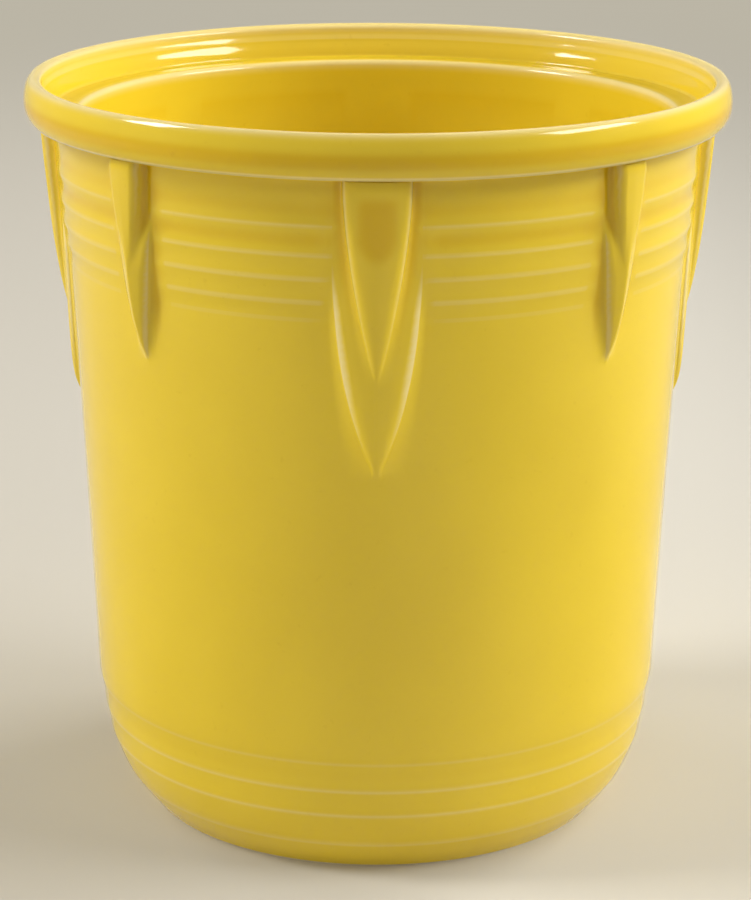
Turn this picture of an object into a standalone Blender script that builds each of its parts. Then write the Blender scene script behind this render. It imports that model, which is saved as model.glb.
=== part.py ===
"""Glazed ceramic kitchen canister: a turned crock with a lid seat, rings and stepped pendants."""

from math import cos, exp, pi, radians, sin, sqrt, tau

import bmesh
import bpy

MM = 0.001

# Overall form, measured from the table to the crest of the rim
HEIGHT = 188.0 * MM
RIM_RADIUS = 88.0 * MM
WALL_TOP_RADIUS = 79.4 * MM
WALL_FOOT_RADIUS = 72.7 * MM
WALL_SAG = 0.3 * MM
WALL_THICKNESS = 5.0 * MM
FLOOR_THICKNESS = 6.5 * MM
FLOOR_FILLET = 16.0 * MM

# Rolled rim
RIM_BAND = 11.0 * MM
RIM_CREST_INSET = 2.2 * MM
RIM_WIDEST_DROP = 5.9 * MM
RIM_TUCK = 3.6 * MM
RIM_LIP = 1.9 * MM
UNDERCUT = 1.5 * MM

# Gallery inside the rim, where a lid sits
GALLERY_DEPTH = 8.6 * MM
GALLERY_RADIUS = 81.6 * MM
GALLERY_FILLET = 1.2 * MM
LEDGE_WIDTH = 4.8 * MM
LEDGE_ROUND = 1.4 * MM
LEDGE_BLEND = 5.6 * MM

# Shoulder rings: drop of each ridge below the rim band, and how far it stands off the wall
SHOULDER_DROPS = (3.7 * MM, 11.6 * MM, 18.3 * MM, 24.0 * MM, 29.6 * MM, 33.9 * MM)
SHOULDER_SWELLS = (1.4 * MM, 1.45 * MM, 1.3 * MM, 1.15 * MM, 0.6 * MM, 0.0)
SHOULDER_CHANNEL_DEPTH = 0.4 * MM
LONG_CHANNEL_ENDS = (11.1 * MM, 11.1 * MM, 11.8 * MM, 13.1 * MM, 13.1 * MM, 13.1 * MM)
SHORT_CHANNEL_ENDS = (8.6 * MM, 8.0 * MM, 7.2 * MM, 7.0 * MM, 7.0 * MM, 7.0 * MM)
CHANNEL_CORNER = 3.0 * MM
CHANNEL_END_RUN = 2.0 * MM

# Base rings: height of each ridge above the table, and how far it lies inside the wall's taper
BASE_BAND = 33.5 * MM
BASE_HEIGHTS = (31.7 * MM, 24.3 * MM, 17.2 * MM, 8.3 * MM)
BASE_TUCKS = (0.25 * MM, 1.1 * MM, 2.2 * MM, 5.5 * MM)
BASE_CHANNEL_DEPTH = 0.25 * MM

# Foot ring under the base
FOOT_RADIUS = 60.2 * MM
FOOT_WIDTH = 4.6 * MM
FOOT_STEP = 1.0 * MM
FOOT_UNDERCUT = 0.6 * MM
FOOT_RECESS = 2.2 * MM

# Stepped pendants: a pad, a wedge and a nose hang one on the other from the rim band.
# Long and short ones alternate, and a short one is a wedge and a nose without a pad.
PENDANT_PAIRS = 4
TIER_DROPS = (71.8 * MM, 49.0 * MM, 28.0 * MM)
TIER_HALF_WIDTHS = (10.2 * MM, 7.7 * MM, 4.3 * MM)
TIER_POINTS = (3.3, 1.85, 1.8)
PAD_HEIGHT = 2.3 * MM
PAD_RISE = 3.5 * MM
PAD_CROWN = 0.3
EDGE_HEIGHT = 3.1 * MM
EDGE_RISE = 8.0 * MM
KEEL_HEIGHT = 5.5 * MM
LONG_KEEL_RISE = 16.0 * MM
SHORT_KEEL_RISE = 10.4 * MM
NOSE_LIP = 0.35 * MM
NOSE_RISE = 6.0 * MM
STEP_RUN = 0.9 * MM

# Fineness of the faceted surface
PLAIN_SPOKES = 64
INNER_SPOKES = 48
NARROWEST = 0.25 * MM
CLOSEST_ROWS = 0.6 * MM
TIP_ROW = 2.5 * MM
CURVE_STEPS = 3
SHARP_ANGLE = radians(35.0)

# Look of the fired glaze
GLAZE_COLOUR = (0.68, 0.43, 0.04, 1.0)
GLAZE_ROUGHNESS = 0.12

RIM_UNDERSIDE = HEIGHT - RIM_BAND
RIM_WIDEST = HEIGHT - RIM_WIDEST_DROP
GALLERY_FLOOR = HEIGHT - GALLERY_DEPTH
TIER_TIPS = tuple(RIM_UNDERSIDE - drop for drop in TIER_DROPS)
SHOULDER_RIDGES = tuple(RIM_UNDERSIDE - drop for drop in SHOULDER_DROPS)
SHOULDER_FOOT = TIER_TIPS[0] - TIP_ROW


def clear_scene():
    for item in list(bpy.data.objects):
        bpy.data.objects.remove(item)


def between(value, low, high):
    return max(low, min(high, value))


def wall_radius(height):
    """Outer radius of the plain wall: a straight taper with a slight inward sag."""
    share = (height - BASE_BAND) / (RIM_UNDERSIDE - BASE_BAND)
    sag = WALL_SAG * 4.0 * share * (1.0 - share)
    return WALL_FOOT_RADIUS + (WALL_TOP_RADIUS - WALL_FOOT_RADIUS) * share - sag


def inner_radius(height):
    return wall_radius(height) - WALL_THICKNESS


def follow(height, heights, values):
    """A straight run between neighbouring ridges, whose heights go downwards."""
    if height >= heights[0]:
        return values[0]
    for upper, lower, start, end in zip(heights, heights[1:], values, values[1:]):
        if height >= lower:
            return start + (end - start) * (upper - height) / (upper - lower)
    return values[-1]


def hollow(height, heights, depth):
    """Depth of the concave channel between two neighbouring ridges."""
    for upper, lower in zip(heights, heights[1:]):
        if lower < height < upper:
            return depth * sin(pi * (upper - height) / (upper - lower))
    return 0.0


def tier_half_width(tier, height):
    """Half width of a pointed tier: nothing at its tip, full width under the rim."""
    share = between((height - TIER_TIPS[tier]) / TIER_DROPS[tier], 0.0, 1.0)
    return TIER_HALF_WIDTHS[tier] * (1.0 - (1.0 - share) ** TIER_POINTS[tier])


def climb(tier, height, run):
    """Climbs from nothing at a tier's tip towards one, over the given run."""
    return 1.0 - exp(-max(0.0, height - TIER_TIPS[tier]) / run)


def channel_end(height, has_pad):
    """Arc length from a pendant's centre line to where the channels beside it run out."""
    if not has_pad:
        return follow(height, SHOULDER_RIDGES, SHORT_CHANNEL_ENDS)
    end = follow(height, SHOULDER_RIDGES, LONG_CHANNEL_ENDS)
    below = between(SHOULDER_RIDGES[1] - height, 0.0, CHANNEL_CORNER)
    rounding = CHANNEL_CORNER - sqrt(CHANNEL_CORNER ** 2 - (CHANNEL_CORNER - below) ** 2)
    return end + rounding if height < SHOULDER_RIDGES[1] else end


def pendant_columns(height, has_pad):
    """Arc lengths from a pendant's centre line to the edges of its tiers and along the channels."""
    half_pitch = wall_radius(height) * pi / PENDANT_PAIRS / 2.0
    nose = max(tier_half_width(2, height), NARROWEST)
    wedge = max(tier_half_width(1, height), nose + NARROWEST)
    wedge_foot = wedge + min(STEP_RUN, NARROWEST + wedge / 2.0)
    columns = [0.0, nose, wedge, wedge_foot]
    if has_pad:
        pad = max(tier_half_width(0, height), wedge_foot + NARROWEST)
        columns += [pad, pad + STEP_RUN]
    start = max(columns[-1] + NARROWEST, channel_end(height, has_pad))
    full = start + min(CHANNEL_END_RUN, (half_pitch - start) / 2.0)
    return columns + [start, full, (full + half_pitch) / 2.0, half_pitch]


def pad_height(height):
    """Height of the pad over the wall: flush with the upper ridges, fuller towards its tip."""
    full = follow(height, (SHOULDER_RIDGES[1], TIER_TIPS[0]), (SHOULDER_SWELLS[1], PAD_HEIGHT))
    return full * climb(0, height, PAD_RISE)


def pendant_heights(height, has_pad):
    """Heights over the wall at a pendant's keel, nose crest, wedge edge, wedge foot and pad edge."""
    ground = pad_height(height) if has_pad else 0.0
    keel_rise = LONG_KEEL_RISE if has_pad else SHORT_KEEL_RISE
    keel = ground + (KEEL_HEIGHT - ground) * climb(1, height, keel_rise)
    edge = ground + (EDGE_HEIGHT - ground) * climb(1, height, EDGE_RISE)
    crest = keel + NOSE_LIP * climb(2, height, NOSE_RISE)
    heights = [keel, crest, edge, ground]
    return heights + [ground * (1.0 - PAD_CROWN)] if has_pad else heights


def shoulder_radius(height, channel_share):
    swell = follow(height, SHOULDER_RIDGES, SHOULDER_SWELLS)
    channel = hollow(height, SHOULDER_RIDGES, SHOULDER_CHANNEL_DEPTH)
    return wall_radius(height) + swell - channel * channel_share


def half_sector(height, has_pad):
    """Offset and radius of the columns from a pendant's centre line to halfway to the next one."""
    smooth = shoulder_radius(height, 0.0)
    channelled = shoulder_radius(height, 1.0)
    columns = pendant_columns(height, has_pad)
    radii = [max(wall_radius(height) + proud, smooth) for proud in pendant_heights(height, has_pad)]
    radii += [smooth] * (len(columns) - len(radii) - 3)
    radii += [channelled] * 3
    return list(zip(columns, radii))


def relief_spokes(height):
    """Angle and radius of every column of the shoulder at one height, all round the crock."""
    spokes = []
    for pendant in range(2 * PENDANT_PAIRS):
        centre = pi * pendant / PENDANT_PAIRS
        half = half_sector(height, pendant % 2 == 0)
        sector = [(-offset, radius) for offset, radius in reversed(half[1:])] + half[:-1]
        spokes += [(centre + offset / wall_radius(height), radius) for offset, radius in sector]
    return spokes


def plain_spokes(count, radius):
    return [(tau * step / count, radius) for step in range(count)]


def shares(start, end, count):
    """Values inside a run, at equal steps, without its ends."""
    return [start + (end - start) * step / count for step in range(1, count)]


def shoulder_rows():
    """Heights of the shoulder's rows, top down: every ridge and tip first, then what fits between."""
    rows = [RIM_UNDERSIDE - UNDERCUT, SHOULDER_FOOT, *SHOULDER_RIDGES, *TIER_TIPS]
    extra = [tip + TIP_ROW for tip in TIER_TIPS]
    for upper, lower in zip(SHOULDER_RIDGES, SHOULDER_RIDGES[1:]):
        extra += shares(upper, lower, round((upper - lower) / TIP_ROW))
    extra += shares(TIER_TIPS[0] + TIP_ROW, TIER_TIPS[1], 4)
    extra += shares(TIER_TIPS[1] + TIP_ROW, SHOULDER_RIDGES[-1], 2)
    for row in extra:
        if min(abs(row - kept) for kept in rows) > CLOSEST_ROWS:
            rows.append(row)
    return sorted(rows, reverse=True)


def curve(centre, reach, start, end, steps):
    """Points on an ellipse round a centre, from one angle in degrees to another."""
    points = []
    for step in range(steps + 1):
        angle = radians(start + (end - start) * step / steps)
        points.append((centre[0] + reach[0] * cos(angle), centre[1] + reach[1] * sin(angle)))
    return points


def rim_outline():
    """Radius and height from the band's lower edge over the crest to the gallery floor."""
    tuck_centre = (RIM_RADIUS - RIM_TUCK, RIM_WIDEST)
    crest_centre = (RIM_RADIUS - RIM_CREST_INSET, RIM_WIDEST)
    lip_centre = (RIM_RADIUS - RIM_CREST_INSET, HEIGHT - RIM_LIP)
    corner = (GALLERY_RADIUS - GALLERY_FILLET, GALLERY_FLOOR + GALLERY_FILLET)
    outline = curve(tuck_centre, (RIM_TUCK, RIM_WIDEST - RIM_UNDERSIDE), -90.0, 0.0, CURVE_STEPS)
    outline += curve(crest_centre, (RIM_CREST_INSET, HEIGHT - RIM_WIDEST), 0.0, 90.0, CURVE_STEPS)[1:]
    outline += curve(lip_centre, (RIM_LIP, RIM_LIP), 90.0, 180.0, 2)[1:]
    outline += curve(corner, (GALLERY_FILLET, GALLERY_FILLET), 0.0, -90.0, 2)
    return outline


def ledge_outline():
    """Radius and height from the flat of the ledge, over its edge and down to the inner wall."""
    edge = GALLERY_RADIUS - GALLERY_FILLET - LEDGE_WIDTH
    outline = curve((edge, GALLERY_FLOOR - LEDGE_ROUND), (LEDGE_ROUND, LEDGE_ROUND), 90.0, 180.0, 2)
    blend_end = GALLERY_FLOOR - LEDGE_ROUND - LEDGE_BLEND
    outline.append((inner_radius(blend_end), blend_end))
    return outline


def inside_outline():
    """Radius and height down the inner wall and round the fillet onto the floor."""
    fillet_top = FLOOR_THICKNESS + FLOOR_FILLET
    middle = (fillet_top + GALLERY_FLOOR) / 2.0
    centre = (inner_radius(fillet_top) - FLOOR_FILLET, fillet_top)
    outline = [(inner_radius(middle), middle)]
    outline += curve(centre, (FLOOR_FILLET, FLOOR_FILLET), 0.0, -90.0, CURVE_STEPS + 1)
    return outline


def base_radius(height):
    tuck = follow(height, BASE_HEIGHTS, BASE_TUCKS)
    return wall_radius(height) - tuck - hollow(height, BASE_HEIGHTS, BASE_CHANNEL_DEPTH)


def base_outline():
    """Radius and height from the plain wall under the pendants down to the foot, top down."""
    plain = [(SHOULDER_FOOT + BASE_BAND) / 2.0, BASE_BAND]
    ringed = [BASE_HEIGHTS[0]]
    for upper, lower in zip(BASE_HEIGHTS, BASE_HEIGHTS[1:]):
        ringed += shares(upper, lower, CURVE_STEPS) + [lower]
    outline = [(wall_radius(height), height) for height in plain]
    outline += [(base_radius(height), height) for height in ringed]
    neck = FOOT_RADIUS + FOOT_UNDERCUT
    last = BASE_HEIGHTS[-1]
    reach = (base_radius(last) - neck, last - FOOT_STEP)
    outline += curve((neck, last), reach, 0.0, -90.0, CURVE_STEPS)[1:]
    return outline


def foot_outline():
    """Radius and height across the foot's flat underside and into the recess, outside in."""
    inner = FOOT_RADIUS - FOOT_WIDTH
    return [(FOOT_RADIUS, 0.0), (inner, 0.0), (inner - FOOT_RECESS, FOOT_RECESS)]


def add_ring(bm, spokes, height):
    """A ring of vertices with their angles, which only grow and start nearest to zero."""
    ring = []
    for angle, radius in spokes:
        ring.append((angle % tau, bm.verts.new((radius * cos(angle), radius * sin(angle), height))))
    return sorted(ring, key=lambda spoke: spoke[0])


def pair_up(bm, lower, upper):
    for step in range(len(lower)):
        after = (step + 1) % len(lower)
        bm.faces.new((lower[step][1], lower[after][1], upper[after][1], upper[step][1]))


def zip_up(bm, lower, upper):
    """Joins rings of unlike counts with triangles, always stepping on the ring that lags behind."""
    low, high = 0, 0
    low_angles = [angle for angle, _ in lower] + [lower[0][0] + tau]
    high_angles = [angle for angle, _ in upper] + [upper[0][0] + tau]
    while low < len(lower) or high < len(upper):
        low_vertex = lower[low % len(lower)][1]
        high_vertex = upper[high % len(upper)][1]
        step_low = high == len(upper) or (low < len(lower) and low_angles[low + 1] <= high_angles[high + 1])
        if step_low:
            low += 1
            bm.faces.new((low_vertex, lower[low % len(lower)][1], high_vertex))
        else:
            high += 1
            bm.faces.new((low_vertex, upper[high % len(upper)][1], high_vertex))


def join_rings(bm, rings):
    for lower, upper in zip(rings, rings[1:]):
        join = pair_up if len(lower) == len(upper) else zip_up
        join(bm, lower, upper)


def close_with_centre(bm, ring, height):
    centre = bm.verts.new((0.0, 0.0, height))
    for step in range(len(ring)):
        bm.faces.new((ring[step][1], ring[(step + 1) % len(ring)][1], centre))


def turned_rings(bm, outline, count):
    return [add_ring(bm, plain_spokes(count, radius), height) for radius, height in outline]


def crock_rings(bm):
    """Every ring of the casting, from the floor inside, over the rim, to the recess under the foot."""
    rings = turned_rings(bm, inside_outline()[::-1], INNER_SPOKES)
    rings += turned_rings(bm, ledge_outline()[::-1], PLAIN_SPOKES)
    rings += turned_rings(bm, rim_outline()[::-1], PLAIN_SPOKES)
    rings += [add_ring(bm, relief_spokes(row), row) for row in shoulder_rows()]
    rings += turned_rings(bm, base_outline(), PLAIN_SPOKES)
    rings += turned_rings(bm, foot_outline(), PLAIN_SPOKES)
    return rings


def crock_mesh(name):
    bm = bmesh.new()
    rings = crock_rings(bm)
    join_rings(bm, rings)
    close_with_centre(bm, rings[0], FLOOR_THICKNESS)
    close_with_centre(bm, rings[-1], FOOT_RECESS)
    bmesh.ops.recalc_face_normals(bm, faces=bm.faces)
    for face in bm.faces:
        face.smooth = True
    mesh = bpy.data.meshes.new(name)
    bm.to_mesh(mesh)
    bm.free()
    mesh.set_sharp_from_angle(angle=SHARP_ANGLE)
    return mesh


def yellow_glaze():
    material = bpy.data.materials.new("yellow_glaze")
    material.use_nodes = True
    shader = material.node_tree.nodes["Principled BSDF"]
    shader.inputs["Base Color"].default_value = GLAZE_COLOUR
    shader.inputs["Roughness"].default_value = GLAZE_ROUGHNESS
    shader.inputs["Metallic"].default_value = 0.0
    return material


def build():
    clear_scene()
    mesh = crock_mesh("crock_body")
    mesh.materials.append(yellow_glaze())
    crock = bpy.data.objects.new("crock_body", mesh)
    bpy.context.scene.collection.objects.link(crock)
    print("crock_body faces", len(mesh.polygons))


build()
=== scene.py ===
# %% [markdown]
# # A yellow glazed canister, lesson in cells
#
# The real object is one slip-cast ceramic crock: a rolled rim with a seat for a lid, six rings
# on the shoulder, eight pointed pendants that hang from the rim, four rings round the base and a
# narrow foot. This lesson models that one piece finely, glazes it, and lights it as a studio
# photograph. The imported CAD model comes first, as the frame whose sizes the piece repeats.

# %% Load the frame
from math import atan2, cos, pi, radians, sin

import bpy
import numpy as np
from mathutils import Matrix


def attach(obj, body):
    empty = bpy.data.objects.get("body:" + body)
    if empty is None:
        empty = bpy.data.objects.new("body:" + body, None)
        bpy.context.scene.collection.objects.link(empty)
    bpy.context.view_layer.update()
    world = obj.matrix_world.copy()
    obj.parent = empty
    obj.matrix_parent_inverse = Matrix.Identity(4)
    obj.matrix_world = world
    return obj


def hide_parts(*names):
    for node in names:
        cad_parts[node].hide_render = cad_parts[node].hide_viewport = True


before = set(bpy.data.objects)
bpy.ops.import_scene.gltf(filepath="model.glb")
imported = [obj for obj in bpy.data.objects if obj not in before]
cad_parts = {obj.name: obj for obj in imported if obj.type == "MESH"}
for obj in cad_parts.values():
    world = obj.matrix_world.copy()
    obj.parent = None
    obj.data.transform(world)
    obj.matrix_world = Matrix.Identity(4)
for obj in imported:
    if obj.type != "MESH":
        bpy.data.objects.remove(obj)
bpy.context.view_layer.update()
MM = 0.001


# %% [markdown]
# ## Camera
#
# The camera stands as the photographer's did: about 0.7 m away, looking some 17 degrees down
# with a lens that is long enough to keep the rim nearly flat. Its numbers were found by fitting
# the circles of rim, shoulder and base, so a viewer can lay the render over the photo.

# %% Camera
PHOTO_WIDTH = 751.0
LENS = 137.1
LOOKS_DOWN = 16.588
LEANS = 0.25
EYE_PLACE = (0.0, -0.7104, 0.3012)

eye = bpy.data.cameras.new("studio_camera")
eye.sensor_fit = "HORIZONTAL"
eye.sensor_width = 36.0
eye.lens = LENS
eye.shift_x = -1.0 / PHOTO_WIDTH
camera = bpy.data.objects.new("studio_camera", eye)
bpy.context.scene.collection.objects.link(camera)
camera.location = EYE_PLACE
tilt = Matrix.Rotation(radians(90.0 - LOOKS_DOWN), 3, "X")
roll = Matrix.Rotation(radians(LEANS), 3, "Z")
camera.rotation_euler = (tilt @ roll).to_euler()
bpy.context.scene.camera = camera
print("camera at", tuple(round(value, 3) for value in camera.location))


# %% [markdown]
# ## Measurements
#
# A turned piece is a section swung round an axis, so its sizes are radii and heights. They
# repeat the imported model's. The wall leans outwards a little on the way up and sags inwards by
# 0.3 mm, which is what keeps it from looking like a plain cone.

# %% Measurements of the crock
RIM_EDGE = 177.0 * MM
BASE_BAND = 33.5 * MM
LEDGE_TOP = 179.4 * MM
FLOOR_TOP = 6.5 * MM
FLOOR_FILLET = 16.0 * MM
WALL_THICKNESS = 5.0 * MM
WALL_FOOT_RADIUS = 72.7
WALL_FLARE = 6.7
WALL_SAG = 0.3
RELIEF_FOOT = 103.0 * MM


def wall_radius(height):
    """The plain wall's outer radius, in metres: a taper with a slight sag halfway up."""
    share = (height - BASE_BAND) / (RIM_EDGE - BASE_BAND)
    return (WALL_FOOT_RADIUS + WALL_FLARE * share - 4.0 * WALL_SAG * share * (1.0 - share)) * MM


print("wall radius at the foot and under the rim, mm:",
      [round(wall_radius(height) / MM, 2) for height in (BASE_BAND, RIM_EDGE)])


# %% [markdown]
# ## Section
#
# The section is drawn from the middle of the floor inside, up the inner wall, over the ledge and
# the rolled rim, and down the outside to the foot. Round corners are arcs with enough points
# to catch a lamp's reflection without facets. The gallery's wall, between ledge and crest, has
# two slight waves, which split that reflection in two as in the photo. The section could be
# drawn with a curve object too, but points let the rows lie close where the relief comes later
# and wide where the wall is plain.

# %% Draw the section
def arc(centre, reach, start, end, steps):
    """Points on an ellipse, from one angle in degrees to another. Sizes are in millimetres."""
    angles = np.radians(np.linspace(start, end, steps + 1))
    return [((centre[0] + reach[0] * cos(angle)) * MM, (centre[1] + reach[1] * sin(angle)) * MM)
            for angle in angles]


def rows(start, end, step):
    """Heights in millimetres from start down or up to end, at about the given step."""
    count = max(1, round(abs(end - start) / step))
    return np.linspace(start, end, count + 1)


def in_metres(points):
    return [(radius * MM, height * MM) for radius, height in points]


# Points are a radius and a height. An arc is its centre, reach, first and last angle, and steps.
FLOOR_RADII = (0.0, 9.0, 21.0, 33.0, 44.0)
MOUTH = ((74.12, 173.6), (74.14, 176.2))
LEDGE_LIP = ((75.6, 178.0), (1.4, 1.4), 180.0, 90.0, 6)
GALLERY_CORNER = ((80.9, 180.2), (0.8, 0.8), -90.0, 0.0, 4)
GALLERY_WALL = ((81.95, 181.3), (82.35, 182.25), (82.72, 183.05), (82.90, 183.65), (83.03, 184.2),
                (83.36, 184.95), (83.6, 185.6))
INNER_ROLL = ((84.75, 186.55), (1.1, 1.15), 178.0, 105.0, 7)
CREST = ((85.1, 187.88), (85.8, 188.0))
UPPER_ROLL = ((85.8, 182.1), (2.2, 5.9), 90.0, 0.0, 12)
LOWER_ROLL = ((84.2, 182.1), (3.8, 5.3), 0.0, -62.0, 8)
LOWER_EDGE = ((84.75, 177.75), (0.75, 0.75), -35.0, -120.0, 5)
UNDER_RIM = ((83.6, 177.25), (82.5, 177.15))
RIM_ROOT = ((82.5, 175.6), (1.7, 1.5), 110.0, 180.0, 4)


def inside_section():
    """From the middle of the floor, round its corner, up the wall and over the ledge's lip."""
    fillet = FLOOR_FILLET / MM
    fillet_top = FLOOR_TOP / MM + fillet
    fillet_centre = (wall_radius(fillet_top * MM) - WALL_THICKNESS) / MM - fillet
    points = [(radius * MM, FLOOR_TOP) for radius in FLOOR_RADII]
    points += arc((fillet_centre, fillet_top), (fillet, fillet), -90.0, 0.0, 11)
    points += [(wall_radius(z * MM) - WALL_THICKNESS, z * MM) for z in rows(30.0, 170.0, 17.5)]
    points += in_metres(MOUTH) + arc(*LEDGE_LIP)
    points += [(78.0 * MM, LEDGE_TOP)]
    return points


def rim_section():
    """From the ledge up the gallery wall, over the rolled rim and in under its lower edge."""
    points = arc(*GALLERY_CORNER) + in_metres(GALLERY_WALL) + arc(*INNER_ROLL)
    points += in_metres(CREST) + arc(*UPPER_ROLL)[1:] + arc(*LOWER_ROLL)[1:]
    points += arc(*LOWER_EDGE) + in_metres(UNDER_RIM) + arc(*RIM_ROOT)
    return points


rim = rim_section()
print("section points: inside", len(inside_section()), "rim", len(rim))


# %% [markdown]
# ## Base and foot
#
# Below the straight wall the crock rounds in towards its foot. Four thin ridges run round it, and
# the surface between them is so slightly hollow that light hardly shows it. The ridges' radii
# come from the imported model's sizes. A smooth curve is drawn through them, and the hollows are
# taken off it afterwards.

# %% Draw the base
BASE_RIDGES = (31.7, 24.3, 17.2, 8.3)
BASE_INSETS = (0.25, 1.1, 2.2, 5.5)
BASE_HOLLOW = 0.16
FOOT_RADIUS = 60.2
FOOT_WIDTH = 4.6
FOOT_RECESS = 2.2
FOOT_EDGE = 0.35
TUCK_END = (63.7, 4.6)
FOOT_TURN = ((62.8, 3.4), (61.9, 2.3), (61.1, 1.4), (60.6, 0.8))
ABOVE_BASE = (BASE_BAND / MM, 40.0, 50.0)
WALL_ROWS = ((174.9, 142.0, 0.72), (141.2, 103.0, 0.98), (97.0, 38.0, 9.0))


def hollow(height, ridges, depths):
    """A shallow cove between each two neighbouring ridges, with its own depth."""
    for upper, lower, depth in zip(ridges, ridges[1:], depths):
        if lower < height < upper:
            return depth * sin(pi * (upper - height) / (upper - lower))
    return 0.0


def smooth_curve(heights, radii, samples):
    """A curve through given points, with slopes taken from each point's two neighbours."""
    heights, radii = np.array(heights), np.array(radii)
    slopes = np.gradient(radii, heights)
    result = []
    for sample in samples:
        place = int(np.clip(np.searchsorted(heights, sample) - 1, 0, len(heights) - 2))
        width = heights[place + 1] - heights[place]
        t = (sample - heights[place]) / width
        value = (2 * t ** 3 - 3 * t ** 2 + 1) * radii[place]
        value += (t ** 3 - 2 * t ** 2 + t) * width * slopes[place]
        value += (3 * t ** 2 - 2 * t ** 3) * radii[place + 1]
        value += (t ** 3 - t ** 2) * width * slopes[place + 1]
        result.append(value)
    return result


def base_section():
    """From the band above the ridges, over each ridge and hollow, down to the foot ring."""
    heights = [TUCK_END[1], *BASE_RIDGES[::-1], *ABOVE_BASE]
    plain = [wall_radius(height * MM) / MM for height in BASE_RIDGES]
    ridge_radii = [radius - inset for radius, inset in zip(plain, BASE_INSETS)]
    upper = [wall_radius(height * MM) / MM for height in ABOVE_BASE]
    radii = [TUCK_END[0], *ridge_radii[::-1], *upper]
    samples = rows(BASE_BAND / MM, TUCK_END[1], 0.85)
    smooth = smooth_curve(heights, radii, samples)
    points = []
    for height, radius in zip(samples, smooth):
        cove = hollow(height, BASE_RIDGES, (BASE_HOLLOW,) * 3)
        points.append(((radius - cove) * MM, height * MM))
    return points + in_metres(FOOT_TURN)


def foot_section():
    """Across the foot ring's flat underside, and up into the recess inside it."""
    inner = FOOT_RADIUS - FOOT_WIDTH
    edge = (FOOT_EDGE, FOOT_EDGE)
    points = arc((FOOT_RADIUS - FOOT_EDGE, FOOT_EDGE), edge, 0.0, -90.0, 3)
    points += arc((inner + FOOT_EDGE, FOOT_EDGE), edge, -90.0, -150.0, 3)
    points += [((inner - 1.2) * MM, 1.3 * MM), ((inner - FOOT_RECESS) * MM, 2.0 * MM)]
    points += [(radius * MM, FOOT_RECESS * MM) for radius in (50.5, 40.0, 26.0, 12.0, 0.0)]
    return points


wall_points = [(wall_radius(z * MM), z * MM) for span in WALL_ROWS for z in rows(*span)]
section = inside_section() + rim + wall_points + base_section() + foot_section()
print("section points in all:", len(section))


# %% [markdown]
# ## Turning
#
# The section is traced by extruding one vertex from point to point, the way it is done by hand,
# and then spun round the crock's axis. Spin leaves a double column where it ends and hundreds
# of vertices on each pole. Merging by distance closes the seam and both poles in one step.

# %% Spin the section
SECTORS = 8
COLUMNS_PER_SECTOR = 52


def trace_section(name, points):
    """A primitive's corners merged into one vertex, which is extruded along the points."""
    bpy.ops.object.select_all(action="DESELECT")
    bpy.ops.mesh.primitive_plane_add(size=2.0 * MM, location=(0.0, 0.0, 0.0))
    piece = bpy.context.active_object
    piece.name = name
    piece.data.name = name
    bpy.ops.object.mode_set(mode="EDIT")
    bpy.ops.mesh.select_all(action="SELECT")
    bpy.ops.mesh.merge(type="CENTER")
    bpy.ops.transform.translate(value=(points[0][0], 0.0, points[0][1]))
    for before, after in zip(points, points[1:]):
        step = (after[0] - before[0], 0.0, after[1] - before[1])
        bpy.ops.mesh.extrude_region_move(TRANSFORM_OT_translate={"value": step})
    return piece


def spin_closed(piece, count):
    """Swings the section all the way round, and closes the seam and the poles."""
    bpy.ops.mesh.select_all(action="SELECT")
    bpy.ops.mesh.spin(steps=count, angle=2.0 * pi, center=(0.0, 0.0, 0.0), axis=(0.0, 0.0, 1.0))
    bpy.ops.mesh.select_all(action="SELECT")
    bpy.ops.mesh.remove_doubles(threshold=0.01 * MM)
    bpy.ops.mesh.normals_make_consistent(inside=False)
    bpy.ops.object.mode_set(mode="OBJECT")


crock = trace_section("canister_crock", section)
spin_closed(crock, COLUMNS_PER_SECTOR * SECTORS)
print("turned crock:", len(crock.data.vertices), "vertices,", len(crock.data.polygons), "faces")


# %% [markdown]
# ## Pendants and shoulder rings
#
# On the real mould the pendants were carved: a long one is a pointed pad with a domed wedge on
# it, and a short one is a narrower wedge without the pad, whose upper part is a steep nose. Long
# and short ones take turns round the crock. Between them six thin ridges ring the shoulder. A
# boolean could add such shapes, but its edges would be knife-sharp. Here each row's cross-section
# is written as heights over the wall, in millimetres, so the glaze's soft edges can be had by
# blurring the relief.

# %% Measure the pendants
TIPS = (105.2, 128.0, 149.0)
DROPS = (71.8, 49.0, 28.0)
HALF_WIDTHS = (10.2, 7.4, 4.3)
SHORT_HALF_WIDTHS = (0.0, 6.3, 4.3)
POINTS = (3.3, 1.7, 1.8)
RIDGES = (173.3, 165.4, 158.7, 153.0, 147.4, 143.1)
SWELLS = (1.4, 1.45, 1.3, 1.15, 0.6, 0.0)
CHANNEL_DEPTHS = (0.22, 0.42, 0.3, 0.24, 0.16)
LONG_ENDS = (11.1, 11.1, 11.8, 13.1, 13.1, 13.1)
SHORT_ENDS = (6.0, 5.9, 5.8, 5.8, 6.0, 6.3)
STEP = 0.4
NARROWEST = 0.14
KEEL = 5.5
PAD_PROUD = 2.3
LEDGE_PROUD = 2.9
PAD_CROWN = 0.3
WEDGE_EDGE = ((128.0, 150.0, 177.0), (0.62, 0.76, 0.84))


def climb(height, tip, run):
    """Climbs from nothing at a tip towards one, over the given run of height."""
    return 1.0 - np.exp(-max(0.0, height - tip) / run)


def fade(values, start, end):
    """Goes smoothly from nothing at the start to one at the end."""
    share = np.clip((values - start) / (end - start), 0.0, 1.0)
    return share * share * (3.0 - 2.0 * share)


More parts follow.
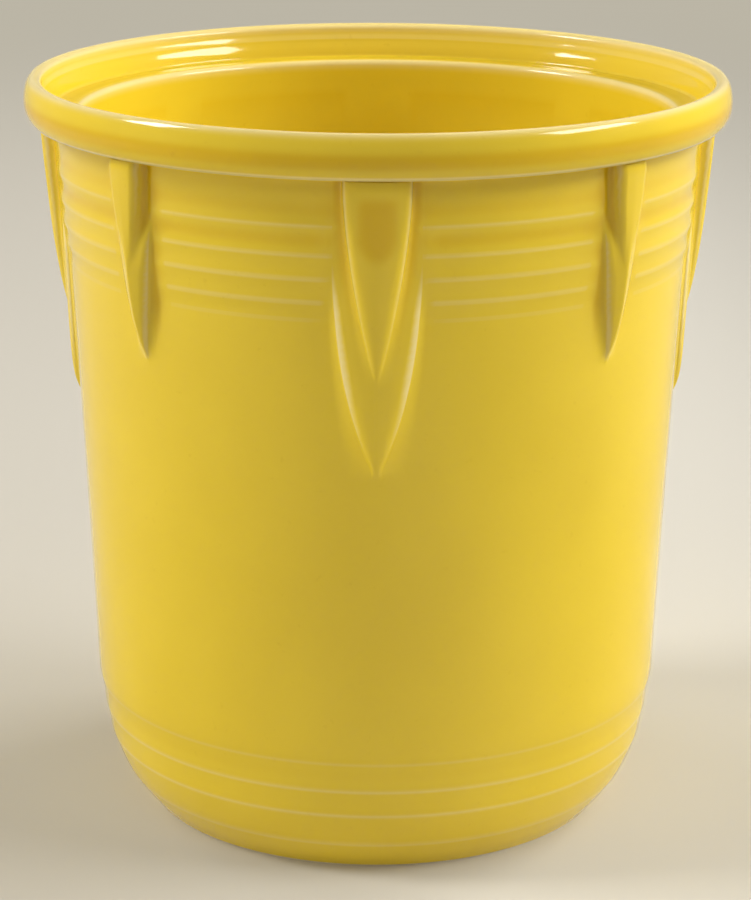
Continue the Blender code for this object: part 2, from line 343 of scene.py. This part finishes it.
def half_width(tier, height, is_long=True):
    """Half the width of a pad, wedge or nose, which is nothing at its tip."""
    share = min(1.0, max(0.0, (height - TIPS[tier]) / DROPS[tier]))
    widest = HALF_WIDTHS[tier] if is_long else SHORT_HALF_WIDTHS[tier]
    return widest * (1.0 - (1.0 - share) ** POINTS[tier])


def along_ridges(height, values):
    return float(np.interp(height, RIDGES[::-1], values[::-1]))


def channel_end(height, is_long):
    """Arc length from a pendant's middle to where the shoulder's channels beside it end."""
    end = along_ridges(height, LONG_ENDS if is_long else SHORT_ENDS)
    if is_long and height < RIDGES[1]:
        below = min(3.0, RIDGES[1] - height)
        end += 3.0 - (9.0 - (3.0 - below) ** 2) ** 0.5
    return end


def tier_edges(height, is_long):
    """Arc lengths from a pendant's middle to the outlines of its tiers, each with its foot."""
    nose = max(half_width(2, height, is_long), NARROWEST)
    nose_foot = nose + min(STEP, NARROWEST + nose / 3.0)
    wedge = max(half_width(1, height, is_long), nose_foot + NARROWEST)
    wedge_foot = wedge + min(STEP, NARROWEST + wedge / 3.0)
    if not is_long:
        return [0.0, nose, nose_foot, wedge, wedge_foot]
    pad = max(half_width(0, height), wedge_foot + NARROWEST)
    return [0.0, nose, wedge, wedge_foot, pad, pad + min(STEP, NARROWEST + pad / 3.0)]


def pad_level(height):
    """The pad is flush with the shoulder above and stands proud of the wall below."""
    full_pad = np.interp(height, (TIPS[0], RIDGES[1]), (PAD_PROUD, SWELLS[1]))
    return full_pad * climb(height, TIPS[0], 3.5)


def long_levels(height, edges):
    """Heights over the wall at a long pendant's edges: a rounded wedge on its pad."""
    ground = pad_level(height)
    keel = ground + (KEEL - ground) * climb(height, TIPS[1], 16.0)
    edge = ground + (keel - ground) * np.interp(height, *WEDGE_EDGE)
    crest = keel - (keel - edge) * (edges[1] / edges[2]) ** 2
    return [keel, crest, edge, ground, ground, 0.0]


def short_levels(height, edges):
    """A nose with steep sides above, which melts into a wedge below."""
    keel = KEEL * climb(height, TIPS[1], 10.4)
    edge = LEDGE_PROUD * climb(height, TIPS[1], 6.0) - 1.8 * fade(height, 156.0, 166.0)
    flank = [keel + (edge - keel) * place / edges[3] for place in edges[1:3]]
    steep = fade(height, 150.0, 162.0)
    crest = flank[0] + (keel - 0.25 - flank[0]) * steep
    nose_foot = flank[1] + (edge + 0.35 - flank[1]) * steep
    return [keel, crest, nose_foot, edge, 0.0]


print("a long pendant at 155 mm:", [round(float(value), 1) for value in tier_edges(155.0, True)])


# %% [markdown]
# ## Relief as a height map
#
# Every cross-section goes into a fine table of heights, one table for a long pendant and one for
# a short one. Blurring a table a little rounds its edges as melted glaze does. A wide blur of
# the same table lies above the narrow one in every groove, and that difference tells where glaze
# gathers and turns deeper in colour. Where glaze runs thin and pale, along the tiers' outlines,
# lines are drawn instead, because each one's width and strength can then be set one by one.

# %% Build the relief tables
GRID = 0.25
GRID_HEIGHTS = np.arange(98.0, 178.6, GRID)
GRID_OFFSETS = np.arange(0.0, 36.0, GRID)
SOFT_EDGE = 0.3
POOL_REACH = 2.4
POOL_SHARE = 0.3


def blurred(field, sigma):
    """A table blurred both ways. It is mirrored at the pendant's middle line."""
    reach = int(3.0 * sigma / GRID) + 1
    steps = np.arange(-reach, reach + 1) * GRID
    weights = np.exp(-0.5 * (steps / sigma) ** 2)
    weights /= weights.sum()
    height, width = field.shape
    tall = np.pad(field, ((reach, reach), (0, 0)), mode="edge")
    tall = sum(weight * tall[place:place + height] for place, weight in enumerate(weights))
    wide = np.pad(tall, ((0, 0), (reach, 0)), mode="reflect")
    wide = np.pad(wide, ((0, 0), (0, reach)), mode="edge")
    return sum(weight * wide[:, place:place + width] for place, weight in enumerate(weights))


def crown_drop(height):
    """How far the pad falls away from its middle line towards its edges."""
    pad = half_width(0, height) + NARROWEST
    inside = np.clip(1.0 - (GRID_OFFSETS - pad) / STEP, 0.0, 1.0)
    above = float(np.clip((RIDGES[1] - height) / 6.0, 0.0, 1.0))
    across = np.clip(GRID_OFFSETS / pad, 0.0, 1.0)
    return PAD_CROWN * pad_level(height) * across ** 2 * inside * above


def cross_section(height, is_long):
    """Heights over the wall: whichever stands higher, the pendant or the ringed shoulder."""
    edges = tier_edges(height, is_long)
    levels = long_levels(height, edges) if is_long else short_levels(height, edges)
    pendant = np.interp(GRID_OFFSETS, edges, levels, right=0.0)
    if is_long:
        across = np.clip(GRID_OFFSETS / edges[2], 0.0, 1.0)
        pendant = np.where(across < 1.0, levels[0] - (levels[0] - levels[2]) * across ** 2, pendant)
        pendant -= crown_drop(height)
    channel = np.clip((GRID_OFFSETS - channel_end(height, is_long)) / 2.0, 0.0, 1.0)
    shoulder = along_ridges(height, SWELLS) - hollow(height, RIDGES, CHANNEL_DEPTHS) * channel
    return np.maximum(pendant, shoulder)


# For each line: which of the tier's edges it follows, its width, and its strength by height.
LONG_LINES = (
    (2, 0.33, (130.0, 140.0, 150.0, 160.0, 171.0, 177.0), (0.04, 0.11, 0.15, 0.18, 0.22, 0.20)),
    (4, 0.38, (107.0, 112.0, 118.0, 128.0, 140.0, 146.0, 152.0, 158.0),
     (0.02, 0.08, 0.16, 0.26, 0.30, 0.28, 0.20, 0.06)),
)
SHORT_LINES = (
    (1, 0.36, (160.0, 165.0, 176.0), (0.0, 0.12, 0.17)),
    (3, 0.42, (128.0, 135.0, 150.0, 160.0, 166.0), (0.14, 0.18, 0.20, 0.18, 0.0)),
)


def edge_lines(height, is_long):
    """Thin glaze along the outlines of the tiers, strongest where an edge is sharpest."""
    edges = tier_edges(height, is_long)
    line = np.zeros(len(GRID_OFFSETS))
    for edge, width, heights, amounts in LONG_LINES if is_long else SHORT_LINES:
        amount = np.interp(height, heights, amounts)
        line += amount * np.exp(-((GRID_OFFSETS - edges[edge]) / width) ** 2)
    tip = TIPS[0] if is_long else TIPS[1]
    return line * float(fade(height, tip - 1.0, tip + 1.0))


def relief_tables(is_long):
    """The table of heights, and the table of thin and gathered glaze that goes with it."""
    field = np.array([cross_section(height, is_long) for height in GRID_HEIGHTS])
    soft = blurred(field, SOFT_EDGE)
    pooled = np.minimum(soft - blurred(field, POOL_REACH), 0.0)
    lines = np.array([edge_lines(height, is_long) for height in GRID_HEIGHTS])
    return soft, lines + POOL_SHARE * pooled


def read_table(table, heights, offsets):
    """Bilinear reading of a table at many places at once."""
    row = np.clip((heights - GRID_HEIGHTS[0]) / GRID, 0.0, table.shape[0] - 1.001)
    column = np.clip(offsets / GRID, 0.0, table.shape[1] - 1.001)
    low_row, low_column = row.astype(int), column.astype(int)
    up, along = row - low_row, column - low_column
    next_row, next_column = low_row + 1, low_column + 1
    lower = table[low_row, low_column] * (1.0 - along) + table[low_row, next_column] * along
    upper = table[next_row, low_column] * (1.0 - along) + table[next_row, next_column] * along
    return lower * (1.0 - up) + upper * up


long_relief, long_glaze = relief_tables(True)
short_relief, short_glaze = relief_tables(False)
print("highest relief, mm: long", round(float(long_relief.max()), 2),
      "short", round(float(short_relief.max()), 2))


# %% [markdown]
# ## Pressing the relief
#
# The spun columns stand evenly, so a pendant's slanting edge would cross them like a saw. Each
# column is first slid sideways until it follows an outline, then each vertex is moved out to
# the height that the table gives. Sliding fades out on the rim and on the plain wall.

# %% Slide the columns and press the relief
SECTOR_ANGLE = 2.0 * pi / SECTORS
# The columns that follow a pendant's outlines, from its middle to halfway to the next one.
LONG_COLUMNS = (0, 5, 9, 12, 15, 18, 20, 26)
SHORT_COLUMNS = (0, 5, 9, 13, 16, 18, 26)
SLIDE_FROM = (62.0, 103.0)
SLIDE_UP_TO = (177.0, 187.0)
OUTER_RIM = 84.3


def read_points(mesh):
    """Every vertex's place as a row of x, y and z, in metres."""
    coordinates = np.zeros(len(mesh.vertices) * 3)
    mesh.vertices.foreach_get("co", coordinates)
    return coordinates.reshape(-1, 3)


def nearest_pendant(points):
    """The nearest pendant's number, whether it is a long one, and the angle from its middle."""
    angle = np.arctan2(points[:, 1], points[:, 0])
    sector = np.rint(angle / SECTOR_ANGLE)
    return sector, sector.astype(int) % 2 == 0, angle - sector * SECTOR_ANGLE


def followed_offsets(height, columns, is_long):
    """Where each column lies at one height when it follows the pendant's outlines, in mm."""
    edges = tier_edges(height, is_long)
    half_pitch = wall_radius(height * MM) / MM * pi / SECTORS
    places = edges + [max(edges[-1] + NARROWEST, channel_end(height, is_long)), half_pitch]
    return np.interp(columns, LONG_COLUMNS if is_long else SHORT_COLUMNS, places)


def press_relief(mesh):
    """Moves the outside's vertices, and gives back the glaze's run and which ones were pressed."""
    coordinates = read_points(mesh)
    radius = np.hypot(coordinates[:, 0], coordinates[:, 1])
    height = coordinates[:, 2] / MM
    wall = wall_radius(coordinates[:, 2]) / MM
    sector, is_long, local = nearest_pendant(coordinates)
    column = np.abs(np.rint(local / (SECTOR_ANGLE / COLUMNS_PER_SECTOR)))
    outside = radius / MM > np.where(height > RIM_EDGE / MM - 0.05, OUTER_RIM, wall - 2.0)
    follow = fade(height, *SLIDE_FROM) * (1.0 - fade(height, *SLIDE_UP_TO)) * outside
    half_pitch = wall * pi / SECTORS
    offset = column / (COLUMNS_PER_SECTOR / 2.0) * half_pitch
    for row in np.unique(np.round(height[follow > 0.0], 4)):
        for kind in (True, False):
            chosen = (np.abs(height - row) < 1e-3) & (follow > 0.0) & (is_long == kind)
            level = float(np.clip(row, SLIDE_FROM[1], SLIDE_UP_TO[0]))
            target = followed_offsets(level, column[chosen], kind)
            target = target / (wall_radius(level * MM) / MM) * wall[chosen]
            offset[chosen] += (target - offset[chosen]) * follow[chosen]
    angle = sector * SECTOR_ANGLE + np.sign(local) * offset / wall
    edge = np.zeros(len(height))
    pressed = outside & (height > RELIEF_FOOT / MM - 4.0) & (height < RIM_EDGE / MM + 0.05)
    tables = ((True, long_relief, long_glaze), (False, short_relief, short_glaze))
    for kind, relief, glaze in tables:
        chosen = pressed & (is_long == kind)
        under_rim = 1.0 - 0.06 * fade(height[chosen], 174.6, 176.6)
        proud = read_table(relief, height[chosen], offset[chosen]) * under_rim
        radius[chosen] = np.maximum(radius[chosen], (wall[chosen] + proud) * MM)
        edge[chosen] = read_table(glaze, height[chosen], offset[chosen])
    coordinates[:, 0] = radius * np.cos(angle)
    coordinates[:, 1] = radius * np.sin(angle)
    mesh.vertices.foreach_set("co", coordinates.ravel())
    mesh.update()
    return edge, pressed


relief_edge, relief_part = press_relief(crock.data)
print("pressed vertices:", int(relief_part.sum()), "edge from", round(float(relief_edge.min()), 3),
      "to", round(float(relief_edge.max()), 3), "mm")


# %% [markdown]
# ## Where glaze thins on the turned edges
#
# The rim, the ledge, the base and the foot need thin and gathered glaze too. Their bends are all
# in the section, so it is blurred along its length, once a little and once more. The distance
# between the two is positive on an outer bend and negative in a hollow. A limit keeps the
# gathered glaze in sharp corners from turning too deep.

# %% Measure the bends of the section
SECTION_STEP = 0.2
EDGE_REACH = 0.8
MOST_GATHERED = -0.08


def section_bends(points):
    """Places along the section, and how far each bends outwards, in millimetres."""
    line = np.array(points) / MM
    run = np.concatenate([[0.0], np.cumsum(np.hypot(*np.diff(line, axis=0).T))])
    places = np.arange(0.0, run[-1], SECTION_STEP)
    even = np.column_stack([np.interp(places, run, line[:, 0]), np.interp(places, run, line[:, 1])])
    blurs = []
    for sigma in (SOFT_EDGE, EDGE_REACH, POOL_REACH):
        reach = int(3.0 * sigma / SECTION_STEP) + 1
        weights = np.exp(-0.5 * (np.arange(-reach, reach + 1) * SECTION_STEP / sigma) ** 2)
        weights /= weights.sum()
        wide = np.pad(even, ((reach, reach), (0, 0)), mode="edge")
        columns = [np.convolve(wide[:, axis], weights, mode="valid") for axis in (0, 1)]
        blurs.append(np.column_stack(columns))
    along = np.gradient(blurs[0], axis=0)
    normal = np.column_stack([-along[:, 1], along[:, 0]]) / np.hypot(*along.T)[:, None]
    thin = np.maximum(((blurs[0] - blurs[1]) * normal).sum(axis=1), 0.0)
    pooled = np.minimum(((blurs[0] - blurs[2]) * normal).sum(axis=1), 0.0)
    return even, thin + pooled


def nearest_bend(mesh, even, bend):
    """The bend at the point of the section that is nearest to each vertex, seen side-on."""
    points = read_points(mesh) / MM
    side = np.column_stack([np.hypot(points[:, 0], points[:, 1]), points[:, 2]])
    keys, index = np.unique(np.round(side, 2), axis=0, return_inverse=True)
    values = np.array([bend[np.argmin(((even - key) ** 2).sum(axis=1))] for key in keys])
    return values[index.ravel()]


section_line, section_bend = section_bends(section)
turned_edge = np.maximum(nearest_bend(crock.data, section_line, section_bend), MOST_GATHERED)
print("bends of the section from", round(float(section_bend.min()), 3),
      "to", round(float(section_bend.max()), 3))


# %% [markdown]
# ## Store the glaze and the painted shade
#
# A point attribute carries the result to the material: above zero the glaze is thin, below zero
# it is darker and deeper in colour. That is where glaze has gathered, and it is painted shade down
# the middle of each nose under the rim's overhang, mixed there with a little gathered glaze, and
# round the rim's fullest part, where it turns to face down. Rings that run all round, such as the
# pale lip under the rim, are added to it as lines at their heights, and so are the shoulder's
# ridges between the pendants. It could be painted by hand as a colour attribute, but numbers
# follow the shape exactly. It lives on the mesh, so it stays put when the piece is moved.

# %% Store the glaze and the painted shade on the mesh
# For each ring round the rim: its height, width, amount, and the radii that it lies between.
RIM_RINGS = (
    (181.6, 2.2, -0.34, 85.5, 89.0),    # painted shade round the rim's fullest part, where it turns to face down
    (177.4, 0.55, 0.26, 84.0, 86.9),    # thin on its lower edge
    (188.0, 1.0, 0.08, 83.0, 88.0),     # thin on the crest
    (184.8, 1.7, 0.10, 82.3, 84.3),     # thin on the gallery's wall
    (178.2, 1.9, 0.06, 70.0, 75.2),     # thin on the ledge's lip
)
# Lines round the wall: their heights, their amounts and their width.
# A faint darker band low on the base, just above the foot.
FOOT_DARKER_BAND = ((2.2,), (-0.1,), 2.2)
BASE_LINES = (BASE_RIDGES, (0.10, 0.13, 0.13, 0.13), 0.6)
SHOULDER_LINES = (RIDGES, (0.03, 0.16, 0.15, 0.14, 0.14, 0.13), 0.7)
CHANNEL_POOLS = ((169.3, 162.2), (-0.10, -0.13), 2.1)
# Where the painted shade down the middle of the noses ends below.
NOSE_SHADE_FOOT = 164.0
WALL_DEPTH = 9.0


def height_lines(points, heights, amounts, width):
    """Lines round the wall, inside and out, at the given heights. The floor gets none."""
    on_wall = np.hypot(points[:, 0], points[:, 1]) > wall_radius(points[:, 2]) - WALL_DEPTH * MM
    line = np.zeros(len(points))
    for height, amount in zip(heights, amounts):
        line += amount * np.exp(-((points[:, 2] / MM - height) / width) ** 2)
    return line * on_wall


def rim_ring(points, height, width, amount, inner, outer):
    """A ring of thin or gathered glaze, or of painted shade, at one height, between two radii, in
    millimetres.
    """
    radius = np.hypot(points[:, 0], points[:, 1]) / MM
    ring = amount * np.exp(-((points[:, 2] / MM - height) / width) ** 2)
    return ring * (radius > inner) * (radius < outer)


def between_pendants(points):
    """One where a shoulder ridge shows, and nothing on the pendants that cross it."""
    _, is_long, local = nearest_pendant(points)
    offset = np.abs(local) * wall_radius(points[:, 2]) / MM
    height = points[:, 2] / MM
    long_end = np.interp(height, RIDGES[::-1], LONG_ENDS[::-1])
    short_end = np.interp(height, RIDGES[::-1], SHORT_ENDS[::-1])
    start = np.where(is_long, long_end - 2.6, short_end - 0.5)
    return fade(offset, start, start + 1.8)


def shade_and_glaze_in_noses(points):
    """Painted shade down the middle of each nose under the rim's overhang, with a little gathered
    glaze.
    """
    _, is_long, local = nearest_pendant(points)
    offset = np.abs(local) * wall_radius(points[:, 2]) / MM
    height = points[:, 2] / MM
    outside = np.hypot(points[:, 0], points[:, 1]) > wall_radius(points[:, 2])
    below = np.maximum(NOSE_SHADE_FOOT - height, 0.0)
    reach = np.hypot(offset / 5.4, below / 7.5)
    amount = np.where(is_long, 0.27, 0.05) * outside
    return -amount * (1.0 - fade(reach, 0.4, 1.15)) * (1.0 - fade(height, 170.8, 174.6))


crock_points = read_points(crock.data)
ringed = between_pendants(crock_points)
glaze_and_painted_shade = np.where(relief_part, relief_edge, turned_edge)
# Painted shade down the middle of each nose, under the rim's overhang.
glaze_and_painted_shade += shade_and_glaze_in_noses(crock_points)
# The first ring round the rim is painted shade, the others are thin glaze.
for ring in RIM_RINGS:
    glaze_and_painted_shade += rim_ring(crock_points, *ring)
glaze_and_painted_shade += height_lines(crock_points, *FOOT_DARKER_BAND)
glaze_and_painted_shade += height_lines(crock_points, *BASE_LINES)
glaze_and_painted_shade += height_lines(crock_points, *SHOULDER_LINES) * ringed
glaze_and_painted_shade += height_lines(crock_points, *CHANNEL_POOLS) * ringed
attribute = crock.data.attributes.new("glaze_and_painted_shade", "FLOAT", "POINT")
attribute.data.foreach_set("value", glaze_and_painted_shade.astype(np.float32))
for face in crock.data.polygons:
    face.use_smooth = True
crock.data.update()
print("thin on", int((glaze_and_painted_shade > 0.05).sum()), "vertices, gathered on",
      int((glaze_and_painted_shade < -0.05).sum()))


# %% [markdown]
# ## Yellow glaze
#
# The glaze is a glassy coat over pale clay. One Principled shader with a ceramic's gloss carries
# it. Its colour comes from three tones: deep amber where glaze gathers, also used as painted shade
# on the noses and round the rim's fullest part, a clear yellow on the plain wall, and a creamy
# yellow where it runs thin. A slow noise varies the tone a little, as firing does, a fine one adds
# a few specks, and a faint bump gives the reflections the slight waver of melted glass.

# %% Mix the yellow glaze
# Deep amber for gathered glaze, which also serves as painted shade on the noses and round the rim.
GATHERED_AND_SHADE_TONE = (0.657, 0.419, 0.002, 1.0)
PLAIN_TONE = (0.735, 0.535, 0.026, 1.0)
THIN_TONE = (0.78, 0.65, 0.30, 1.0)
CLOUD_TONE = (0.955, 0.945, 0.90, 1.0)
SPECKLE_TONE = (0.80, 0.72, 0.55, 1.0)


def new_material(name, roughness, ior):
    """A Principled material with its tree and shader."""
    material = bpy.data.materials.new(name)
    material.use_nodes = True
    shader = material.node_tree.nodes["Principled BSDF"]
    shader.inputs["Roughness"].default_value = roughness
    shader.inputs["IOR"].default_value = ior
    return material, material.node_tree, shader


def add_node(tree, kind, **values):
    """A new node. Each value goes to the input of that name, or else to the node's own setting."""
    node = tree.nodes.new(kind)
    for name, value in values.items():
        if name in node.inputs:
            node.inputs[name].default_value = value
        else:
            setattr(node, name, value)
    return node


def noise(tree, place, scale, detail):
    node = add_node(tree, "ShaderNodeTexNoise", Scale=scale, Detail=detail)
    tree.links.new(place, node.inputs["Vector"])
    return node.outputs["Fac"]


def feed(tree, sockets, values):
    """Gives each socket a number, a colour or another node's output."""
    for socket, value in zip(sockets, values):
        if isinstance(value, (tuple, float)):
            socket.default_value = value
        else:
            tree.links.new(value, socket)


def mix_colours(tree, factor, first, second, blend="MIX"):
    node = add_node(tree, "ShaderNodeMix", data_type="RGBA", blend_type=blend)
    feed(tree, (node.inputs[0], node.inputs[6], node.inputs[7]), (factor, first, second))
    return node.outputs[2]


def spread(tree, value, start, end, low=0.0, high=1.0):
    """Goes smoothly from low to high while the value goes from start to end."""
    node = add_node(tree, "ShaderNodeMapRange", interpolation_type="SMOOTHSTEP")
    feed(tree, node.inputs[:5], (value, start, end, low, high))
    return node.outputs[0]


def add_bump(tree, shader, height, strength, distance):
    bump = add_node(tree, "ShaderNodeBump", Strength=strength, Distance=distance)
    tree.links.new(height, bump.inputs["Height"])
    tree.links.new(bump.outputs["Normal"], shader.inputs["Normal"])


def make_yellow_glaze():
    material, tree, shader = new_material("yellow_glaze_fired", 0.09, 1.52)
    place = add_node(tree, "ShaderNodeTexCoord").outputs["Object"]
    run = add_node(tree, "ShaderNodeAttribute", attribute_name="glaze_and_painted_shade").outputs["Fac"]
    # Below zero: gathered glaze, and painted shade on the noses and round the rim's fullest part.
    colour = mix_colours(tree, spread(tree, run, -0.01, -0.3), PLAIN_TONE, GATHERED_AND_SHADE_TONE)
    colour = mix_colours(tree, spread(tree, run, 0.02, 0.26, 0.0, 0.85), colour, THIN_TONE)
    cloud = spread(tree, noise(tree, place, 22.0, 2.0), 0.3, 0.7)
    colour = mix_colours(tree, cloud, colour, CLOUD_TONE, "MULTIPLY")
    speckle = spread(tree, noise(tree, place, 420.0, 3.0), 0.66, 0.8, 0.0, 0.25)
    colour = mix_colours(tree, speckle, colour, SPECKLE_TONE, "MULTIPLY")
    tree.links.new(colour, shader.inputs["Base Color"])
    shader.inputs["Specular IOR Level"].default_value = 0.45
    add_bump(tree, shader, noise(tree, place, 90.0, 1.0), 0.12, 0.0004)
    return material


yellow_glaze = make_yellow_glaze()
print("nodes in the yellow glaze:", len(yellow_glaze.node_tree.nodes))


# %% [markdown]
# ## Bare clay
#
# A potter wipes the glaze off the foot, or it would stick to the kiln shelf. The flat of the
# foot ring is therefore bare pale clay: dry, matt and a little gritty. It needs no piece of its
# own, only its faces given a second material.

# %% Wipe the foot
CLAY_TONE = (0.62, 0.55, 0.43, 1.0)
GRIT_TONE = (0.76, 0.70, 0.58, 1.0)
STAIN_TONE = (0.50, 0.42, 0.28, 1.0)


def make_bare_clay():
    material, tree, shader = new_material("bare_clay_foot", 0.82, 1.5)
    place = add_node(tree, "ShaderNodeTexCoord").outputs["Object"]
    grit = noise(tree, place, 900.0, 4.0)
    tone = mix_colours(tree, spread(tree, grit, 0.35, 0.65), CLAY_TONE, GRIT_TONE)
    stain = spread(tree, noise(tree, place, 60.0, 3.0), 0.5, 0.75, 0.0, 0.5)
    tone = mix_colours(tree, stain, tone, STAIN_TONE)
    tree.links.new(tone, shader.inputs["Base Color"])
    add_bump(tree, shader, grit, 0.35, 0.0003)
    return material


bare_clay = make_bare_clay()
crock.data.materials.clear()
crock.data.materials.append(yellow_glaze)
crock.data.materials.append(bare_clay)
wiped = 0
for face in crock.data.polygons:
    middle = face.center
    on_ring = (FOOT_RADIUS - FOOT_WIDTH - 0.2) * MM < middle.xy.length < (FOOT_RADIUS + 0.1) * MM
    if on_ring and middle.z < 0.25 * MM:
        face.material_index = 1
        wiped += 1
print("wiped faces:", wiped)


# %% [markdown]
# ## Floor and light
#
# The photo was taken on a pale seamless ground between two large lamps, high on the left and on
# the right, so the front of the crock is its darkest part. Two softboxes stand for them, and
# four panels for the room's pale walls, which light the sides but don't show in the glaze. Two
# more lamps at the softboxes' places show only in reflections, to bring the highlights near the
# photo's white. The floor is one wide sheet whose soft gradient is painted light: its tone is
# darker on the left, lighter just right of the crock and further back, and darker again far to
# the right. It also glows faintly for diffuse rays, painted light that gives some light back to
# the foot, and far away it fades into an even backdrop, so that no side shows a horizon. A
# studio picture could light the world instead, but lamps can be set one by one.

# %% Floor, lamps and surroundings
BOUNCE = 0.42
BACKDROP_TONE = (0.50, 0.465, 0.38, 1.0)
BACKDROP_SPAN = (0.55, 1.5)
# The floor's tones and the changes below are painted light, lighter and darker as the lamps' light
# falls.
FLOOR_LEFT = (0.456, 0.434, 0.385, 1.0)
FLOOR_RIGHT = (0.525, 0.505, 0.455, 1.0)
# For each: along which axis the floor's tone changes, from where to where, and by what factors.
FLOOR_CHANGES = (("X", 0.06, 0.26, 1.0, 0.70), ("Y", 0.5, 1.6, 1.0, 1.42))
MIDDLE = (0.0, 0.0, 0.11)
WARM = (1.0, 0.975, 0.93)
# For each lamp: its place, the point that it faces, its width and height, and its power.
SOFTBOXES = {
    "left": ((-1.24, -0.10, 1.12), MIDDLE, (0.42, 0.5), 14.0),
    "right": ((1.26, -0.28, 1.00), MIDDLE, (0.82, 0.38), 12.5),
}
WALL_PANELS = {
    "left_wall": ((-1.45, -0.25, 0.55), (0.0, 0.0, 0.3), (0.9, 1.0), 9.0),
    "left_back_wall": ((-1.14, 0.80, 0.90), MIDDLE, (0.8, 0.6), 7.0),
    "right_wall": ((1.48, 0.0, 0.70), MIDDLE, (1.0, 0.7), 11.8),
    "right_back_wall": ((1.13, 0.66, 1.02), MIDDLE, (0.8, 0.6), 16.6),
}
SPARKLES = {"left": 9.0, "right": 13.0}
AIR_TINT = (1.0, 0.98, 0.95, 1.0)
# Where the world gives light, by the direction's Y and by its Z, each from, to and two strengths.
AIR_SIDES = ((-0.85, -0.25, 1.2, 0.0), (0.25, 0.85, 0.0, 0.5))
AIR_BAND = ((0.34, 0.56, 0.0, 1.0), (0.78, 0.97, 1.0, 0.0))


def combine(tree, operation, first, second):
    node = add_node(tree, "ShaderNodeMath", operation=operation)
    feed(tree, node.inputs[:2], (first, second))
    return node.outputs[0]


def seen_directly(tree):
    """One for a ray that shows the ground to the camera, straight or in a reflection."""
    rays = add_node(tree, "ShaderNodeLightPath")
    seen = rays.outputs["Is Camera Ray"]
    for kind in ("Is Glossy Ray", "Is Transmission Ray"):
        seen = combine(tree, "MAXIMUM", seen, rays.outputs[kind])
    return seen


def fade_into_backdrop(tree, shader, place):
    """Far from the crock the floor takes the backdrop's tone, so that no horizon shows."""
    away = add_node(tree, "ShaderNodeVectorMath", operation="LENGTH")
    tree.links.new(place, away.inputs[0])
    distance = spread(tree, away.outputs["Value"], *BACKDROP_SPAN)
    far = combine(tree, "MULTIPLY", distance, seen_directly(tree))
    haze = add_node(tree, "ShaderNodeEmission", Color=BACKDROP_TONE)
    blend = add_node(tree, "ShaderNodeMixShader")
    feed(tree, blend.inputs, (far, shader.outputs[0], haze.outputs[0]))
    tree.links.new(blend.outputs[0], tree.nodes["Material Output"].inputs["Surface"])


def make_floor():
    """A wide sheet of paper that isn't part of the object, with painted light in its tone and glow.
    """
    bpy.ops.object.select_all(action="DESELECT")
    bpy.ops.mesh.primitive_plane_add(size=8.0, location=(0.0, 0.0, 0.0))
    floor = bpy.context.active_object
    floor.name = "studio_floor"
    material, tree, shader = new_material("studio_paper", 0.9, 1.45)
    place = add_node(tree, "ShaderNodeTexCoord").outputs["Object"]
    axes = add_node(tree, "ShaderNodeSeparateXYZ")
    tree.links.new(place, axes.inputs[0])
    across = spread(tree, axes.outputs["X"], -0.16, 0.16)
    tone = mix_colours(tree, across, FLOOR_LEFT, FLOOR_RIGHT)
    for axis, *change in FLOOR_CHANGES:
        lift = add_node(tree, "ShaderNodeCombineColor")
        factor = spread(tree, axes.outputs[axis], *change)
        feed(tree, lift.inputs, (factor, factor, factor))
        tone = mix_colours(tree, 1.0, tone, lift.outputs[0], "MULTIPLY")
    tree.links.new(tone, shader.inputs["Base Color"])
    shader.inputs["Specular IOR Level"].default_value = 0.1
    # Painted light: the floor glows faintly for diffuse rays, which lifts the foot.
    rays = add_node(tree, "ShaderNodeLightPath")
    bounce = combine(tree, "MULTIPLY", rays.outputs["Is Diffuse Ray"], BOUNCE)
    tree.links.new(tone, shader.inputs["Emission Color"])
    tree.links.new(bounce, shader.inputs["Emission Strength"])
    fade_into_backdrop(tree, shader, place)
    floor.data.materials.append(material)


def softbox(name, place, aim, size, power):
    """A warm rectangular lamp that stands at a place and faces another."""
    lamp = bpy.data.lights.new(name, "AREA")
    lamp.shape = "RECTANGLE"
    lamp.size, lamp.size_y = size
    lamp.energy = power
    lamp.color = WARM
    holder = bpy.data.objects.new(name, lamp)
    bpy.context.scene.collection.objects.link(holder)
    holder.location = place
    direction = [end - start for start, end in zip(place, aim)]
    flat = (direction[0] ** 2 + direction[1] ** 2) ** 0.5
    holder.rotation_euler = (atan2(flat, -direction[2]), 0.0, atan2(-direction[0], direction[1]))
    return holder


def surround():
    """Light from a band of wall above eye level, while the camera sees one even backdrop."""
    world = bpy.data.worlds.new("studio_air")
    bpy.context.scene.world = world
    world.use_nodes = True
    tree = world.node_tree
    background = tree.nodes["Background"]
    place = add_node(tree, "ShaderNodeTexCoord").outputs["Generated"]
    axes = add_node(tree, "ShaderNodeSeparateXYZ")
    tree.links.new(place, axes.inputs[0])
    front, back = (spread(tree, axes.outputs["Y"], *side) for side in AIR_SIDES)
    strength = combine(tree, "ADD", front, back)
    for edge in AIR_BAND:
        strength = combine(tree, "MULTIPLY", strength, spread(tree, axes.outputs["Z"], *edge))
    seen = seen_directly(tree)
    tree.links.new(mix_colours(tree, seen, AIR_TINT, BACKDROP_TONE), background.inputs["Color"])
    level = add_node(tree, "ShaderNodeMix", data_type="FLOAT")
    feed(tree, (level.inputs[0], level.inputs[2], level.inputs[3]), (seen, strength, 1.0))
    tree.links.new(level.outputs[0], background.inputs["Strength"])


make_floor()
for side, setting in SOFTBOXES.items():
    softbox(side + "_softbox", *setting)
for name, setting in WALL_PANELS.items():
    softbox(name, *setting).visible_glossy = False
for side, power in SPARKLES.items():
    softbox(side + "_sparkle", *SOFTBOXES[side][:3], power).visible_diffuse = False
surround()
bpy.context.scene.view_settings.view_transform = "Standard"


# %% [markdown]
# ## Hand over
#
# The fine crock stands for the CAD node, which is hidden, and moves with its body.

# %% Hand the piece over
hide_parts("crock_body")
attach(crock, "root")
